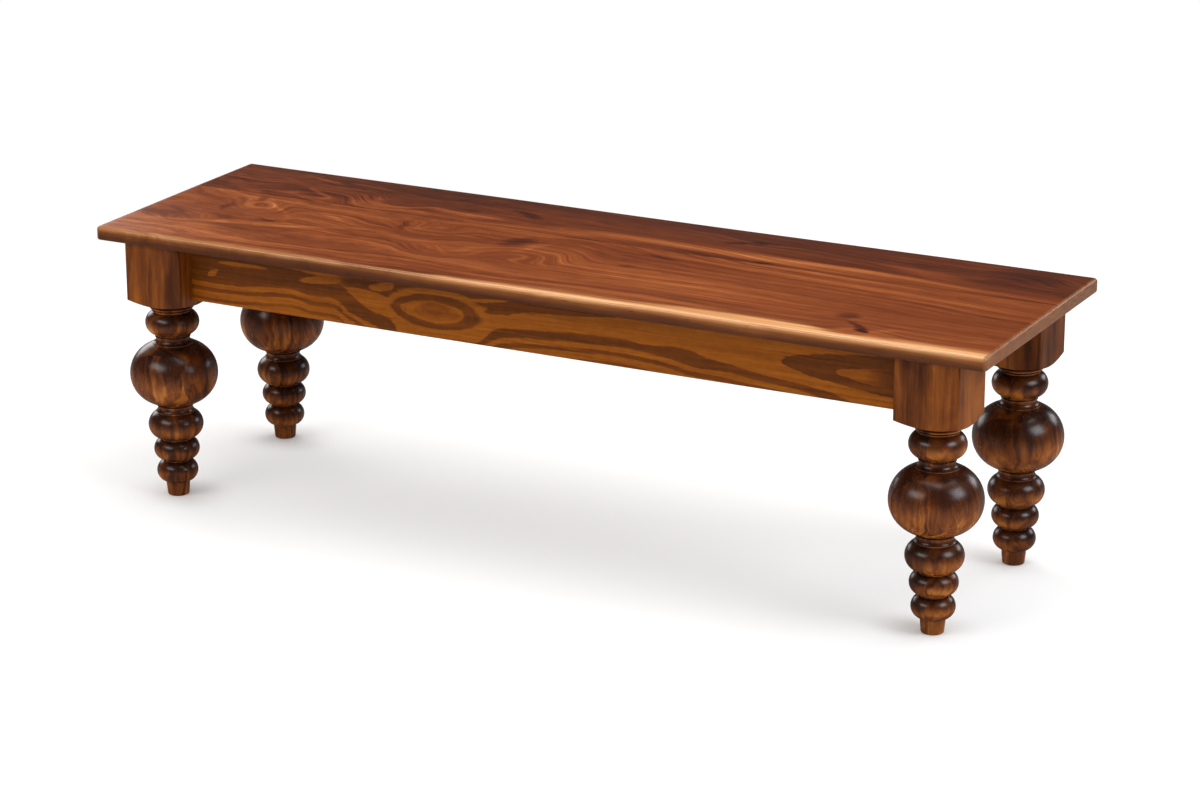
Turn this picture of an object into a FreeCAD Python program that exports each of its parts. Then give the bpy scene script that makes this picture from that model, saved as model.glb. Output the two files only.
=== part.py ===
import FreeCAD, Part
import math
import os
import Sketcher

# A long seat of two glued boards on four heavy turned legs, joined by aprons and end rails.
# Millimetres. X runs along the seat, Y from the front to the back, Z up.
# The origin is on the floor under the middle of the seat.

document = FreeCAD.newDocument("turned_leg_bench")
sheet = document.addObject("Spreadsheet::Sheet", "Sizes")
worked = document.addObject("App::VarSet", "Worked")

# Driving sizes: name, value, meaning.
drivingSizes = [
    ("seatHeight", 457, "floor to the top of the seat"),
    ("seatLength", 1524, "length of the seat"),
    ("seatDepth", 460, "front edge to back edge"),
    ("seatThick", 23, "thickness of the seat boards"),
    ("frontBoardWide", 290, "width of the front seat board"),
    ("topArris", 5, "rounding of the seat's upper edges"),
    ("lowArris", 4, "rounding of the seat's lower edges"),
    ("seatCorner", 6, "rounding of the seat's corners in plan"),
    ("tongueThick", 6, "thickness of the loose tongue"),
    ("tongueWide", 30, "width of the loose tongue across both boards"),
    ("tongueStop", 60, "end of the seat to the end of the tongue"),
    ("glueGap", 0.2, "room left beyond the end of a tongue or tenon"),
    ("endOverhang", 45, "seat beyond the leg blocks at each end"),
    ("sideOverhang", 15, "seat beyond the leg blocks at front and back"),
    ("blockWide", 102, "side of the square leg block"),
    ("blockEase", 1.6, "rounding of the block's upright edges"),
    ("footHigh", 23.5, "floor to the lowest bead"),
    ("footFloorRadius", 17.5, "foot where it meets the floor"),
    ("footTopRadius", 19.5, "foot under the lowest bead"),
    ("footRound", 2.5, "rounding of the foot's lower edge"),
    ("lowBeadRadius", 33.5, "outside of the lowest bead"),
    ("lowBeadHalf", 19, "half the height of the lowest bead"),
    ("lowNeckRadius", 22, "crease over the lowest bead"),
    ("midBeadRadius", 37, "outside of the middle bead"),
    ("midBeadHalf", 18.5, "half the height of the middle bead"),
    ("midNeckRadius", 26, "crease over the middle bead"),
    ("highBeadRadius", 44.5, "outside of the bead under the bulb"),
    ("highBeadHalf", 24, "half the height of the bead under the bulb"),
    ("creaseHigh", 1.8, "height of the crease between two beads"),
    ("rimHigh", 1.5, "height of the rim under each cove"),
    ("lowRimRadius", 31, "rim on the bead under the bulb"),
    ("lowCoveRadius", 28, "waist under the bulb"),
    ("lowCoveHigh", 7, "height of the cove under the bulb"),
    ("ringHalf", 1.8, "half the height of the thin rings"),
    ("ringGap", 0.8, "flat below a thin ring"),
    ("ringLift", 1.6, "flat above a thin ring"),
    ("bulbRadius", 71, "outside of the bulb"),
    ("bulbHalf", 52, "half the height of the bulb"),
    ("highRimRadius", 33, "rim on top of the bulb"),
    ("highCoveRadius", 27, "waist over the bulb"),
    ("highCoveHigh", 8, "height of the cove over the bulb"),
    ("topBeadRadius", 43.5, "outside of the bead under the block"),
    ("topBeadHalf", 20.5, "half the height of the bead under the block"),
    ("collarWaist", 31, "waist under the block"),
    ("collarRadius", 33.5, "middle of the collar's round edge"),
    ("collarHalf", 2.5, "half the height of the collar"),
    ("shoulderRise", 13.5, "collar to the block's lower corners"),
    ("lathePass", 30, "how far past the bulb the waste is turned away"),
    ("cheekSpare", 4, "cheek blank beyond the bulb, turned away"),
    ("apronThick", 25, "thickness of the long aprons"),
    ("apronHigh", 94, "height of the long aprons"),
    ("apronArris", 2, "rounding of the aprons' lower edges"),
    ("apronSetback", 36, "block face to apron face"),
    ("apronTenonLong", 42, "length of the long aprons' tenons"),
    ("apronTenonThick", 9, "thickness of the long aprons' tenons"),
    ("apronTenonShoulder", 12, "shoulder over and under the long tenons"),
    ("railThick", 22, "thickness of the end rails and cross rails"),
    ("endRailHigh", 60, "height of the end rails"),
    ("railTenonLong", 30, "length of the end rails' tenons"),
    ("railTenonThick", 8, "thickness of the end rails' tenons"),
    ("railTenonShoulder", 12, "shoulder over and under the end rails' tenons"),
    ("crossRailHigh", 60, "height of the cross rails"),
    ("crossRailSpread", 410, "distance between the two cross rails"),
    ("housingDeep", 8, "depth of the cross rails' housings in the aprons"),
    ("pinRadius", 4, "radius of the tenon pins"),
    ("pinFit", 0.05, "gap round each pin"),
    ("pinPast", 5, "how far a pin runs past its tenon"),
    ("apronPinIn", 21, "block face to the long aprons' pins"),
    ("apronPinUp", 26, "apron's lower edge to its lower pin"),
    ("apronPinPitch", 24, "lower pin to upper pin"),
    ("railPinIn", 15, "block face to the end rails' pin"),
    ("railPinDown", 26, "seat's underside to the end rails' pin"),
    ("grooveDown", 12, "seat's underside to the button groove"),
    ("grooveHigh", 10, "height of the button groove"),
    ("grooveDeep", 10, "depth of the button groove"),
    ("grooveStop", 30, "block face to the start of the button groove"),
    ("buttonLong", 38, "button along the apron"),
    ("buttonReach", 30, "button body from the apron inwards"),
    ("buttonTongueThick", 9, "thickness of the button's tongue"),
    ("buttonTongueLong", 9, "length of the button's tongue in the groove"),
    ("buttonGap", 1, "gap between button body and apron"),
    ("buttonSpread", 880, "distance between the outer buttons of an apron"),
    ("screwHeadRadius", 4.2, "radius of a screw's head"),
    ("screwHeadHigh", 3, "height of a screw's countersunk head"),
    ("screwShankRadius", 2.1, "radius of a screw's shank"),
    ("screwTipHigh", 5, "height of a screw's point"),
    ("screwTipRadius", 0.4, "radius of a screw's blunt tip"),
    ("screwRecess", 3.6, "length of the cross recess in a screw's head"),
    ("screwRecessWide", 0.9, "width of the cross recess"),
    ("screwRecessDeep", 1.6, "depth of the cross recess"),
    ("screwFit", 0.1, "gap round each screw"),
    ("screwBite", 13, "length of a screw inside the seat"),
    ("counterboreRadius", 6, "radius of the cross rails' counterbores"),
    ("counterboreDeep", 30, "depth of the cross rails' counterbores"),
    ("crossScrewSpread", 200, "distance between the screws of a cross rail"),
]

for row, (alias, value, meaning) in enumerate(drivingSizes, start=1):
    sheet.set(f"A{row}", meaning)
    sheet.set(f"B{row}", str(value))
    sheet.setAlias(f"B{row}", alias)
document.recompute()

# Sizes worked out from the driving ones: name, formula.
workedSizes = [
    ("underside", "Sizes.seatHeight - Sizes.seatThick"),
    ("halfBlock", "Sizes.blockWide / 2"),
    ("legX", "Sizes.seatLength / 2 - Sizes.endOverhang - halfBlock"),
    ("legY", "Sizes.seatDepth / 2 - Sizes.sideOverhang - halfBlock"),
    ("jointY", "Sizes.frontBoardWide - Sizes.seatDepth / 2"),
    ("wasteRadius", "Sizes.bulbRadius + Sizes.lathePass"),
    ("footFlat", "Sizes.footFloorRadius - Sizes.footRound"),
    ("lowBeadCentre", "Sizes.lowBeadRadius - Sizes.lowBeadHalf"),
    ("midBeadCentre", "Sizes.midBeadRadius - Sizes.midBeadHalf"),
    ("highBeadCentre", "Sizes.highBeadRadius - Sizes.highBeadHalf"),
    ("bulbCentre", "Sizes.bulbRadius - Sizes.bulbHalf"),
    ("topBeadCentre", "Sizes.topBeadRadius - Sizes.topBeadHalf"),
    ("lowBeadLevel", "Sizes.footHigh"
     " + sqrt(Sizes.lowBeadHalf ^ 2 - (Sizes.footTopRadius - lowBeadCentre) ^ 2)"),
    ("midBeadLevel", "lowBeadLevel + Sizes.creaseHigh"
     " + sqrt(Sizes.lowBeadHalf ^ 2 - (Sizes.lowNeckRadius - lowBeadCentre) ^ 2)"
     " + sqrt(Sizes.midBeadHalf ^ 2 - (Sizes.lowNeckRadius - midBeadCentre) ^ 2)"),
    ("highBeadLevel", "midBeadLevel + Sizes.creaseHigh"
     " + sqrt(Sizes.midBeadHalf ^ 2 - (Sizes.midNeckRadius - midBeadCentre) ^ 2)"
     " + sqrt(Sizes.highBeadHalf ^ 2 - (Sizes.midNeckRadius - highBeadCentre) ^ 2)"),
    ("lowCoveTop", "highBeadLevel + Sizes.rimHigh + Sizes.lowCoveHigh"
     " + sqrt(Sizes.highBeadHalf ^ 2 - (Sizes.lowRimRadius - highBeadCentre) ^ 2)"),
    ("lowCoveBend", "((Sizes.lowRimRadius - Sizes.lowCoveRadius) ^ 2 + Sizes.lowCoveHigh ^ 2)"
     " / (2 * (Sizes.lowRimRadius - Sizes.lowCoveRadius))"),
    ("lowCoveCentre", "Sizes.lowCoveRadius + lowCoveBend"),
    ("lowRingLevel", "lowCoveTop + Sizes.ringGap + Sizes.ringHalf"),
    ("bulbLevel", "lowRingLevel + Sizes.ringHalf + Sizes.ringLift"
     " + sqrt(Sizes.bulbHalf ^ 2 - (Sizes.lowCoveRadius - bulbCentre) ^ 2)"),
    ("highCoveTop", "bulbLevel + Sizes.rimHigh + Sizes.highCoveHigh"
     " + sqrt(Sizes.bulbHalf ^ 2 - (Sizes.highRimRadius - bulbCentre) ^ 2)"),
    ("highCoveBend", "((Sizes.highRimRadius - Sizes.highCoveRadius) ^ 2 + Sizes.highCoveHigh ^ 2)"
     " / (2 * (Sizes.highRimRadius - Sizes.highCoveRadius))"),
    ("highCoveCentre", "Sizes.highCoveRadius + highCoveBend"),
    ("highRingLevel", "highCoveTop + Sizes.ringGap + Sizes.ringHalf"),
    ("topBeadLevel", "highRingLevel + Sizes.ringHalf + Sizes.ringLift"
     " + sqrt(Sizes.topBeadHalf ^ 2 - (Sizes.highCoveRadius - topBeadCentre) ^ 2)"),
    ("topRingLevel", "topBeadLevel + Sizes.ringGap + Sizes.ringHalf"
     " + sqrt(Sizes.topBeadHalf ^ 2 - (Sizes.collarWaist - topBeadCentre) ^ 2)"),
    ("collarFoot", "topRingLevel + Sizes.ringHalf + Sizes.ringGap"),
    ("collarLevel", "collarFoot + Sizes.collarHalf"),
    ("shoulderFoot", "collarLevel + Sizes.collarHalf"),
    ("shoulderOut", "shoulderFoot + Sizes.shoulderRise * (wasteRadius - Sizes.collarRadius)"
     " / (halfBlock * sqrt(2) - Sizes.collarRadius)"),
    ("apronLow", "underside - Sizes.apronHigh"),
    ("apronOut", "halfBlock - Sizes.apronSetback - Sizes.apronThick / 2"),
    ("apronY", "legY + apronOut"),
    ("apronInside", "apronY - Sizes.apronThick / 2"),
    ("apronClear", "legX - halfBlock"),
    ("railClear", "legY - halfBlock"),
    ("pinBore", "Sizes.pinRadius + Sizes.pinFit"),
    ("apronPinLong", "halfBlock + apronOut + Sizes.apronTenonThick / 2 + Sizes.pinPast"),
    ("railPinLong", "halfBlock + Sizes.railTenonThick / 2 + Sizes.pinPast"),
    ("apronPinLow", "apronLow + Sizes.apronPinUp"),
    ("apronPinTop", "apronPinLow + Sizes.apronPinPitch"),
    ("railPinLevel", "underside - Sizes.railPinDown"),
    ("buttonHigh", "Sizes.grooveDown + Sizes.buttonTongueThick"),
    ("buttonFoot", "underside - buttonHigh"),
    ("buttonMiddle", "Sizes.buttonGap + Sizes.buttonReach / 2"),
    ("railInside", "legX - Sizes.railThick / 2"),
    ("buttonScrewLong", "buttonHigh + Sizes.screwBite"),
    ("crossScrewFoot", "underside - Sizes.crossRailHigh + Sizes.counterboreDeep"),
    ("crossScrewLong", "Sizes.crossRailHigh - Sizes.counterboreDeep + Sizes.screwBite"),
    ("screwHole", "Sizes.screwShankRadius + Sizes.screwFit"),
]

for name, formula in workedSizes:
    worked.addProperty("App::PropertyFloat", name, "Worked")
    worked.setExpression(name, formula)
document.recompute()


def size(name):
    """The value of a driving or worked size."""
    source = worked if name in worked.PropertiesList else sheet
    return float(getattr(source, name))


def cell(name):
    """The size as an expression can name it."""
    source = "Worked" if name in worked.PropertiesList else "Sizes"
    return f"{source}.{name}"


nodes = []
legCorners = [("front_left", -1, -1), ("front_right", 1, -1), ("back_left", -1, 1), ("back_right", 1, 1)]


# Bodies and the features they share.

def newBody(label, isNode=True):
    body = document.addObject("PartDesign::Body", label)
    body.Label = label
    if isNode:
        nodes.append(body)
    return body


def placeAt(item, x="0", y="0", z="0"):
    for axis, formula in zip("xyz", (x, y, z)):
        item.setExpression(f"Placement.Base.{axis}", formula)


def boxFeature(body, kind, name, centre, extent):
    """A box added to or cut from a body, given by its centre and its size along X, Y and Z."""
    feature = body.newObject(f"PartDesign::{kind}Box", name)
    for side, formula in zip(("Length", "Width", "Height"), extent):
        feature.setExpression(side, formula)
    placeAt(feature, *[f"({c}) - ({e}) / 2" for c, e in zip(centre, extent)])
    return feature


def boreFeature(body, name, start, axis, radius, depth):
    """A round hole from its start along +X, -X, +Y, -Y or +Z."""
    turns = {
        "+X": FreeCAD.Rotation(FreeCAD.Vector(0, 1, 0), 90),
        "-X": FreeCAD.Rotation(FreeCAD.Vector(0, 1, 0), -90),
        "+Y": FreeCAD.Rotation(FreeCAD.Vector(1, 0, 0), -90),
        "-Y": FreeCAD.Rotation(FreeCAD.Vector(1, 0, 0), 90),
        "+Z": FreeCAD.Rotation(),
    }
    feature = body.newObject("PartDesign::SubtractiveCylinder", name)
    feature.Placement = FreeCAD.Placement(FreeCAD.Vector(), turns[axis])
    feature.setExpression("Radius", radius)
    feature.setExpression("Height", depth)
    placeAt(feature, *start)
    return feature


def edgesAt(shape, test):
    """Names of the edges whose middle passes the test."""
    found = []
    for number, edge in enumerate(shape.Edges, start=1):
        middle = edge.valueAt((edge.FirstParameter + edge.LastParameter) / 2)
        if test(middle):
            found.append(f"Edge{number}")
    return found


def roundEdges(body, name, base, test, radius):
    document.recompute()
    feature = body.newObject("PartDesign::Fillet", name)
    feature.Base = (base, edgesAt(base.Shape, test))
    feature.setExpression("Radius", radius)
    return feature


def near(value, target):
    return abs(value - target) < 1e-4


def originPlane(body, role):
    return [plane for plane in body.Origin.OriginFeatures if plane.Role == role][0]


def planeSketch(body, name, role):
    sketch = body.newObject("Sketcher::SketchObject", name)
    sketch.AttachmentSupport = [(originPlane(body, role), "")]
    sketch.MapMode = "FlatFace"
    return sketch


def bind(sketch, kind, where, name):
    """A measured constraint that follows a size."""
    number = sketch.addConstraint(Sketcher.Constraint(kind, *where, size(name)))
    sketch.setExpression(f"Constraints[{number}]", cell(name))


# Turned outline: arcs and upright lines, from the floor up, in the XZ plane.

class TurnedOutline:
    def __init__(self, sketch):
        self.sketch = sketch
        self.ends = []

    def point(self, radius, level):
        return FreeCAD.Vector(radius, level, 0)

    def line(self, start, finish):
        number = self.sketch.addGeometry(Part.LineSegment(self.point(*start), self.point(*finish)), False)
        self.ends.append((number, 1, 2))
        return number

    def arc(self, centre, level, radius, low, high, hollow=False):
        """An arc about (centre, level), each a size's name, between two radii from the axis.

        low and high are (distance from the axis, -1 below or +1 above the centre's level).
        """
        middle, height, bend = size(centre), size(level), size(radius)
        angles = []
        for distance, side in (low, high):
            across = max(-1.0, min(1.0, (distance - middle) / bend))
            angles.append(side * math.acos(across))
        if hollow:
            angles.reverse()
            angles = [angle % (2 * math.pi) for angle in angles]
        circle = Part.Circle(self.point(middle, height), FreeCAD.Vector(0, 0, 1), bend)
        number = self.sketch.addGeometry(Part.ArcOfCircle(circle, *angles), False)
        bind(self.sketch, "DistanceX", (-1, 1, number, 3), centre)
        bind(self.sketch, "DistanceY", (-1, 1, number, 3), level)
        bind(self.sketch, "Radius", (number,), radius)
        self.ends.append((number, 2, 1) if hollow else (number, 1, 2))
        return number

    def top(self):
        """Where the last piece ends."""
        number, _, finish = self.ends[-1]
        found = self.sketch.getPoint(number, finish)
        return found.x, found.y

    def upright(self, radius, level, over=None):
        """A vertical line from the last piece up to a level, at a named radius.

        A line over a cove's bend starts at the level named by over instead.
        """
        number = self.line((size(radius), self.top()[1]), (size(radius), level))
        self.sketch.addConstraint(Sketcher.Constraint("Vertical", number))
        if over:
            bind(self.sketch, "DistanceY", (-1, 1, number, 1), over)
        else:
            bind(self.sketch, "DistanceX", (-1, 1, number, 1), radius)

    def close(self):
        for (number, _, finish), (following, start, _) in zip(self.ends, self.ends[1:] + self.ends[:1]):
            self.sketch.addConstraint(Sketcher.Constraint("Coincident", number, finish, following, start))


def arcDrop(centre, radius, distance):
    """Height from an arc's centre to where it is a distance from the axis."""
    return math.sqrt(size(radius) ** 2 - (distance - size(centre)) ** 2)


def drawWaste(sketch):
    """The wood turned away outside the leg, up to the sloping shoulder under the block."""
    out = TurnedOutline(sketch)
    floor = out.line((size("wasteRadius"), 0), (size("footFlat"), 0))
    sketch.addConstraint(Sketcher.Constraint("Horizontal", floor))
    bind(sketch, "DistanceX", (-1, 1, floor, 1), "wasteRadius")
    bind(sketch, "DistanceX", (-1, 1, floor, 2), "footFlat")
    out.arc("footFlat", "footRound", "footRound", (size("footFlat"), -1), (size("footFloorRadius"), 1))
    taper = out.line(out.top(), (size("footTopRadius"), size("footHigh")))
    bind(sketch, "DistanceX", (-1, 1, taper, 2), "footTopRadius")
    bind(sketch, "DistanceY", (-1, 1, taper, 1), "footRound")

    beads = [
        ("lowBead", "footTopRadius", "lowNeckRadius", "midBead"),
        ("midBead", "lowNeckRadius", "midNeckRadius", "highBead"),
    ]
    for bead, under, over, following in beads:
        centre, level, half = f"{bead}Centre", f"{bead}Level", f"{bead}Half"
        out.arc(centre, level, half, (size(under), -1), (size(over), 1))
        lift = arcDrop(f"{following}Centre", f"{following}Half", size(over))
        out.upright(over, size(f"{following}Level") - lift)

    out.arc("highBeadCentre", "highBeadLevel", "highBeadHalf", (size("midNeckRadius"), -1),
            (size("lowRimRadius"), 1))
    drawWaist(out, "low", "lowCoveRadius", "bulb")
    out.arc("bulbCentre", "bulbLevel", "bulbHalf", (size("lowCoveRadius"), -1), (size("highRimRadius"), 1))
    drawWaist(out, "high", "highCoveRadius", "topBead")
    out.arc("topBeadCentre", "topBeadLevel", "topBeadHalf", (size("highCoveRadius"), -1),
            (size("collarWaist"), 1))

    out.upright("collarWaist", size("topRingLevel") - size("ringHalf"))
    out.arc("collarWaist", "topRingLevel", "ringHalf", (size("collarWaist"), -1), (size("collarWaist"), 1))
    out.upright("collarWaist", size("collarFoot"))
    step = out.line(out.top(), (size("collarRadius"), size("collarFoot")))
    sketch.addConstraint(Sketcher.Constraint("Horizontal", step))
    out.arc("collarRadius", "collarLevel", "collarHalf", (size("collarRadius"), -1),
            (size("collarRadius"), 1))
    shoulder = out.line(out.top(), (size("wasteRadius"), size("shoulderOut")))
    bind(sketch, "DistanceX", (-1, 1, step, 2), "collarRadius")
    bind(sketch, "DistanceX", (-1, 1, shoulder, 1), "collarRadius")
    bind(sketch, "DistanceX", (-1, 1, shoulder, 2), "wasteRadius")
    bind(sketch, "DistanceY", (-1, 1, shoulder, 2), "shoulderOut")
    out.line(out.top(), (size("wasteRadius"), 0))
    out.close()


def drawWaist(out, place, cove, following):
    """A rim, a cove, a thin ring and the flats between them, up to the next swelling."""
    rim = f"{place}RimRadius"
    coveTop, ringLevel = f"{place}CoveTop", f"{place}RingLevel"
    out.upright(rim, size(coveTop) - size(f"{place}CoveHigh"))
    out.arc(f"{place}CoveCentre", coveTop, f"{place}CoveBend", (size(rim), -1), (size(cove), 1), hollow=True)
    out.upright(cove, size(ringLevel) - size("ringHalf"), over=coveTop)
    out.arc(cove, ringLevel, "ringHalf", (size(cove), -1), (size(cove), 1))
    lift = arcDrop(f"{following}Centre", f"{following}Half", size(cove))
    out.upright(cove, size(f"{following}Level") - lift)


def turnAway(body):
    sketch = planeSketch(body, "Waste", "XZ_Plane")
    drawWaste(sketch)
    document.recompute()
    groove = body.newObject("PartDesign::Groove", "Turning")
    groove.Profile = sketch
    groove.ReferenceAxis = (sketch, ["V_Axis"])
    groove.Angle = 360
    sketch.Visibility = False
    return groove


# Legs: two half blanks glued face to face, a cheek glued to each side at the bulb, then turned.

def tenonPinLevels():
    return [("Low", "Worked.apronPinLow"), ("High", "Worked.apronPinTop")]


def cutLegJoints(body, inX, inY, halfX):
    """Mortises and pin holes. inX and inY point from the leg to the middle of the bench."""
    railMortise = ("Sizes.railTenonThick / 2", "Sizes.railTenonLong + Sizes.glueGap",
                   "Sizes.endRailHigh - 2 * Sizes.railTenonShoulder")
    boxFeature(body, "Subtractive", "RailMortise",
               (f"{halfX} * Sizes.railTenonThick / 4",
                f"{inY} * (Worked.halfBlock - (Sizes.railTenonLong + Sizes.glueGap) / 2)",
                "Worked.underside - Sizes.endRailHigh / 2"), railMortise)
    boreFeature(body, "RailPinHole",
                (f"{inX} * Worked.halfBlock", f"{inY} * (Worked.halfBlock - Sizes.railPinIn)",
                 "Worked.railPinLevel"),
                "-X" if inX > 0 else "+X", "Worked.pinBore", "Worked.railPinLong")
    if halfX != inX:
        return
    apronMortise = ("Sizes.apronTenonLong + Sizes.glueGap", "Sizes.apronTenonThick",
                    "Sizes.apronHigh - 2 * Sizes.apronTenonShoulder")
    boxFeature(body, "Subtractive", "ApronMortise",
               (f"{inX} * (Worked.halfBlock - (Sizes.apronTenonLong + Sizes.glueGap) / 2)",
                f"{-inY} * Worked.apronOut",
                "Worked.apronLow + Sizes.apronHigh / 2"), apronMortise)
    for name, level in tenonPinLevels():
        boreFeature(body, f"{name}PinHole",
                    (f"{inX} * (Worked.halfBlock - Sizes.apronPinIn)", f"{inY} * Worked.halfBlock", level),
                    "-Y" if inY > 0 else "+Y", "Worked.pinBore", "Worked.apronPinLong")


def placeLeg(body, signX, signY):
    placeAt(body, f"{signX} * Worked.legX", f"{signY} * Worked.legY")


def makeLegHalf(corner, signX, signY, side):
    inX, inY = -signX, -signY
    halfX = inX if side == "inner" else -inX
    body = newBody(f"leg_{corner}_{side}_half")
    blank = boxFeature(body, "Additive", "Blank",
                       (f"{halfX} * Worked.halfBlock / 2", "0", "Worked.underside / 2"),
                       ("Worked.halfBlock", "Sizes.blockWide", "Worked.underside"))
    half = size("halfBlock")
    roundEdges(body, "Ease", blank,
               lambda point: near(abs(point.x), half) and near(abs(point.y), half), "Sizes.blockEase")
    turnAway(body)
    cutLegJoints(body, inX, inY, halfX)
    placeLeg(body, signX, signY)


def makeCheek(corner, signX, signY, side, outX, outY):
    """A piece that builds the bulb out past one side of the block."""
    body = newBody(f"leg_{corner}_cheek_{side}")
    thick = "(Sizes.bulbRadius + Sizes.cheekSpare - Worked.halfBlock)"
    reach = f"(Worked.halfBlock + {thick} / 2)"
    centre = (f"{outX} * {reach}", f"{outY} * {reach}", "Worked.bulbLevel")
    extent = (thick, "Sizes.blockWide", "2 * Sizes.bulbHalf")
    if outY:
        extent = ("Sizes.blockWide", thick, "2 * Sizes.bulbHalf")
    boxFeature(body, "Additive", "Blank", centre, extent)
    turnAway(body)
    placeLeg(body, signX, signY)


for corner, signX, signY in legCorners:
    for side in ("outer", "inner"):
        makeLegHalf(corner, signX, signY, side)
    for side, outX, outY in (("outer", signX, 0), ("inner", -signX, 0), ("front", 0, -1), ("back", 0, 1)):
        makeCheek(corner, signX, signY, side, outX, outY)


# Long aprons: tenons at both ends, a stopped groove for the buttons, housings for the cross rails.

def makeApron(name, signY):
    body = newBody(f"apron_{name}")
    board = boxFeature(body, "Additive", "Board", ("0", "0", "Sizes.apronHigh / 2"),
                       ("2 * Worked.apronClear", "Sizes.apronThick", "Sizes.apronHigh"))
    half = size("apronThick") / 2
    roundEdges(body, "LowerEdges", board,
               lambda point: near(point.z, 0) and near(abs(point.y), half), "Sizes.apronArris")
    boxFeature(body, "Additive", "Tenons", ("0", "0", "Sizes.apronHigh / 2"),
               ("2 * (Worked.apronClear + Sizes.apronTenonLong)", "Sizes.apronTenonThick",
                "Sizes.apronHigh - 2 * Sizes.apronTenonShoulder"))
    boxFeature(body, "Subtractive", "ButtonGroove",
               ("0", f"{-signY} * (Sizes.apronThick - Sizes.grooveDeep) / 2",
                "Sizes.apronHigh - Sizes.grooveDown - Sizes.grooveHigh / 2"),
               ("2 * (Worked.apronClear - Sizes.grooveStop)", "Sizes.grooveDeep", "Sizes.grooveHigh"))
    for side, signX in (("Left", -1), ("Right", 1)):
        boxFeature(body, "Subtractive", f"{side}Housing",
                   (f"{signX} * Sizes.crossRailSpread / 2",
                    f"{-signY} * (Sizes.apronThick - Sizes.housingDeep) / 2",
                    "Sizes.apronHigh - Sizes.crossRailHigh / 2"),
                   ("Sizes.railThick", "Sizes.housingDeep", "Sizes.crossRailHigh"))
        for level, raised in (("Low", "0"), ("High", "Sizes.apronPinPitch")):
            boreFeature(body, f"{side}{level}PinHole",
                        (f"{signX} * (Worked.apronClear + Sizes.apronPinIn)", "-Sizes.apronTenonThick",
                         f"Sizes.apronPinUp + {raised}"),
                        "+Y", "Worked.pinBore", "2 * Sizes.apronTenonThick")
    placeAt(body, "0", f"{signY} * Worked.apronY", "Worked.apronLow")


makeApron("front", -1)
makeApron("back", 1)


# End rails, narrower than the aprons, under the ends of the seat.

def makeEndRail(name, signX):
    body = newBody(f"end_rail_{name}")
    boxFeature(body, "Additive", "Board", ("0", "0", "Sizes.endRailHigh / 2"),
               ("Sizes.railThick", "2 * Worked.railClear", "Sizes.endRailHigh"))
    boxFeature(body, "Additive", "Tenons", ("0", "0", "Sizes.endRailHigh / 2"),
               ("Sizes.railTenonThick", "2 * (Worked.railClear + Sizes.railTenonLong)",
                "Sizes.endRailHigh - 2 * Sizes.railTenonShoulder"))
    boxFeature(body, "Subtractive", "ButtonGroove",
               (f"{-signX} * (Sizes.railThick - Sizes.grooveDeep) / 2", "0",
                "Sizes.endRailHigh - Sizes.grooveDown - Sizes.grooveHigh / 2"),
               ("Sizes.grooveDeep", "2 * (Worked.railClear - Sizes.grooveStop)", "Sizes.grooveHigh"))
    for side, signY in (("Front", -1), ("Back", 1)):
        boreFeature(body, f"{side}PinHole",
                    ("-Sizes.railTenonThick", f"{signY} * (Worked.railClear + Sizes.railPinIn)",
                     "Sizes.endRailHigh - Sizes.railPinDown"),
                    "+X", "Worked.pinBore", "2 * Sizes.railTenonThick")
    placeAt(body, f"{signX} * Worked.legX", "0", "Worked.underside - Sizes.endRailHigh")


makeEndRail("left", -1)
makeEndRail("right", 1)


# Screws point up, head down, with their seats in the piece that they pass through.

def screwSeat(body, name, centreX, centreY, level, depth):
    """A countersink and a hole for the shank."""
    sink = body.newObject("PartDesign::SubtractiveCone", f"{name}Sink")
    sink.setExpression("Radius1", "Sizes.screwHeadRadius + Sizes.screwFit")
    sink.setExpression("Radius2", "Worked.screwHole")
    sink.setExpression("Height", "Sizes.screwHeadHigh")
    placeAt(sink, centreX, centreY, level)
    boreFeature(body, f"{name}Hole", (centreX, centreY, level), "+Z", "Worked.screwHole", depth)


def makeScrew(name, place, length):
    body = newBody(name, isNode=False)
    head = body.newObject("PartDesign::AdditiveCone", "Head")
    head.setExpression("Radius1", "Sizes.screwHeadRadius")
    head.setExpression("Radius2", "Sizes.screwShankRadius")
    head.setExpression("Height", "Sizes.screwHeadHigh")
    shank = body.newObject("PartDesign::AdditiveCylinder", "Shank")
    shank.setExpression("Radius", "Sizes.screwShankRadius")
    shank.setExpression("Height", f"{length} - Sizes.screwTipHigh")
    tip = body.newObject("PartDesign::AdditiveCone", "Tip")
    tip.setExpression("Radius1", "Sizes.screwShankRadius")
    tip.setExpression("Radius2", "Sizes.screwTipRadius")
    tip.setExpression("Height", "Sizes.screwTipHigh")
    placeAt(tip, "0", "0", f"{length} - Sizes.screwTipHigh")
    recess = ("Sizes.screwRecess", "Sizes.screwRecessWide", "Sizes.screwRecessDeep")
    centre = ("0", "0", "Sizes.screwRecessDeep / 2")
    boxFeature(body, "Subtractive", "RecessAlong", centre, recess)
    boxFeature(body, "Subtractive", "RecessAcross", centre, (recess[1], recess[0], recess[2]))
    placeAt(body, *place)
    return body


def makeGroup(label, members):
    group = document.addObject("Part::Compound", label)
    group.Label = label
    group.Links = members
    nodes.append(group)


seatScrews = []


# Cross rails, housed in the aprons, each screwed up into the seat from deep counterbores.

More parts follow.
